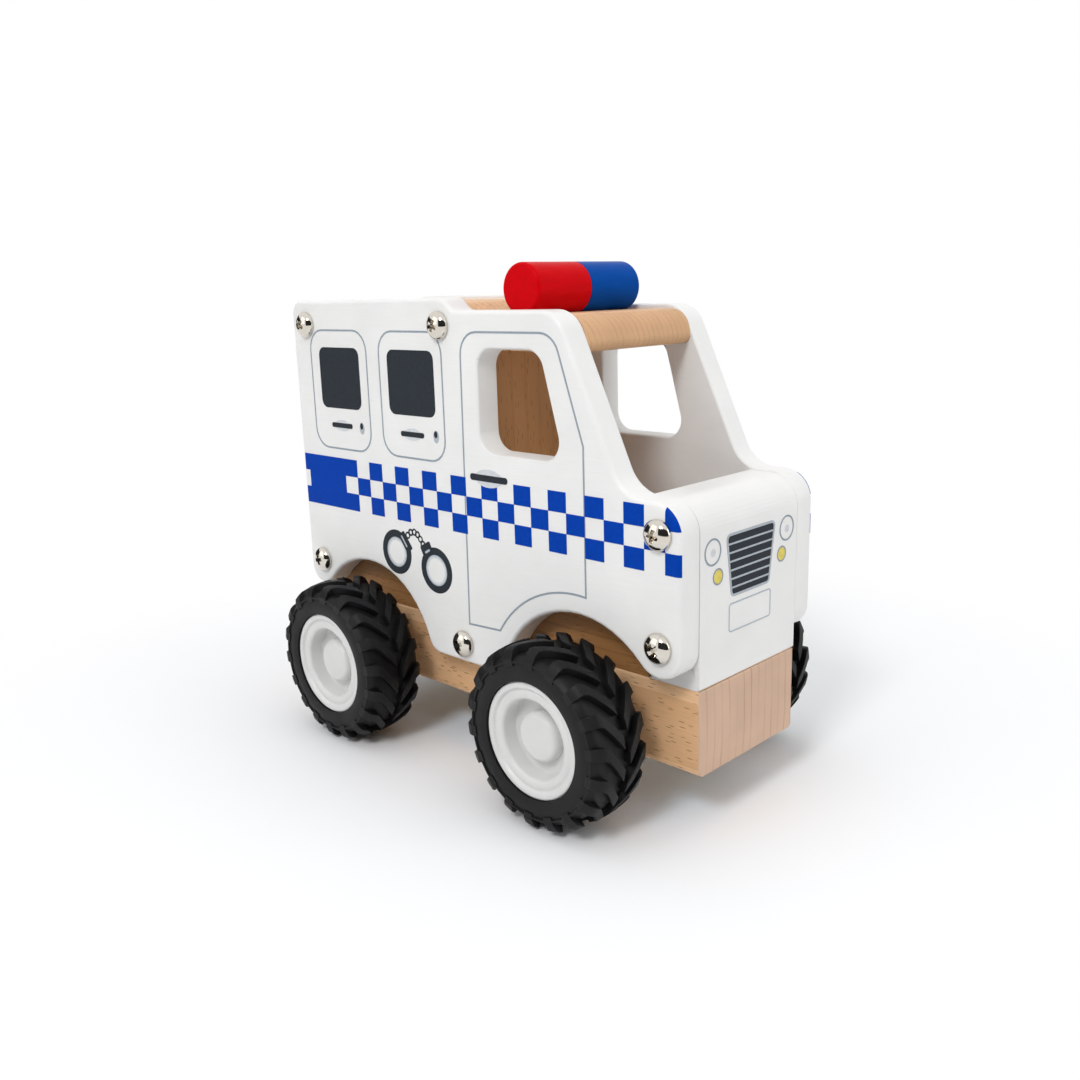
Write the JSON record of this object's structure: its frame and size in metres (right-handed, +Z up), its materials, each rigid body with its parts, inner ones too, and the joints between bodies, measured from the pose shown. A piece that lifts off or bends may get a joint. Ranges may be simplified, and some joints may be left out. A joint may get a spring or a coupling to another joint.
{
  "type": "wooden toy police van",
  "caption": "Wooden push-along toy van with painted side panels, an open cab, a round red and blue light bar and rubber tractor tyres on steel axles.",
  "frame": {"origin": "middle of the van's footprint, on the floor under the tyres", "axes": "+X towards the van's front, +Y towards its left side, +Z up"},
  "size_m": [0.178, 0.112, 0.1655],
  "materials": {
    "beech": "sanded beech with a thin clear finish",
    "white_paint": "satin white lacquer on wood",
    "red_paint": "gloss red enamel on wood",
    "blue_paint": "gloss blue enamel on wood",
    "nickel": "polished nickel plate",
    "steel": "bright drawn steel rod",
    "rubber": "matt moulded rubber",
    "white_plastic": "satin moulded plastic"
  },
  "bodies": {
    "van": {"chassis": "beech", "deck_board": "beech", "front_block": "white_paint", "rear_wall": "white_paint", "bulkhead": "beech", "roof_board": "beech", "right_side_panel": "white_paint", "left_side_panel": "white_paint", "right_panel_screws": "nickel", "left_panel_screws": "nickel", "dowel_pins": "beech", "light_bar_red": "red_paint", "light_bar_blue": "blue_paint", "light_bar_pegs": "beech"},
    "front_wheels": {"front_axle": "steel", "front_right_tyre": "rubber", "front_right_rim": "white_plastic", "front_right_hub_cap": "white_plastic", "front_left_tyre": "rubber", "front_left_rim": "white_plastic", "front_left_hub_cap": "white_plastic"},
    "rear_wheels": {"rear_axle": "steel", "rear_right_tyre": "rubber", "rear_right_rim": "white_plastic", "rear_right_hub_cap": "white_plastic", "rear_left_tyre": "rubber", "rear_left_rim": "white_plastic", "rear_left_hub_cap": "white_plastic"}
  },
  "joints": [
    {"name": "front_axle_roll", "type": "hinge", "parent": "van", "child": "front_wheels", "pos_m": [0.0505, 0, 0.029], "axis": [0, 1, 0], "continuous": true},
    {"name": "rear_axle_roll", "type": "hinge", "parent": "van", "child": "rear_wheels", "pos_m": [-0.0515, 0, 0.029], "axis": [0, 1, 0], "continuous": true}
  ]
}
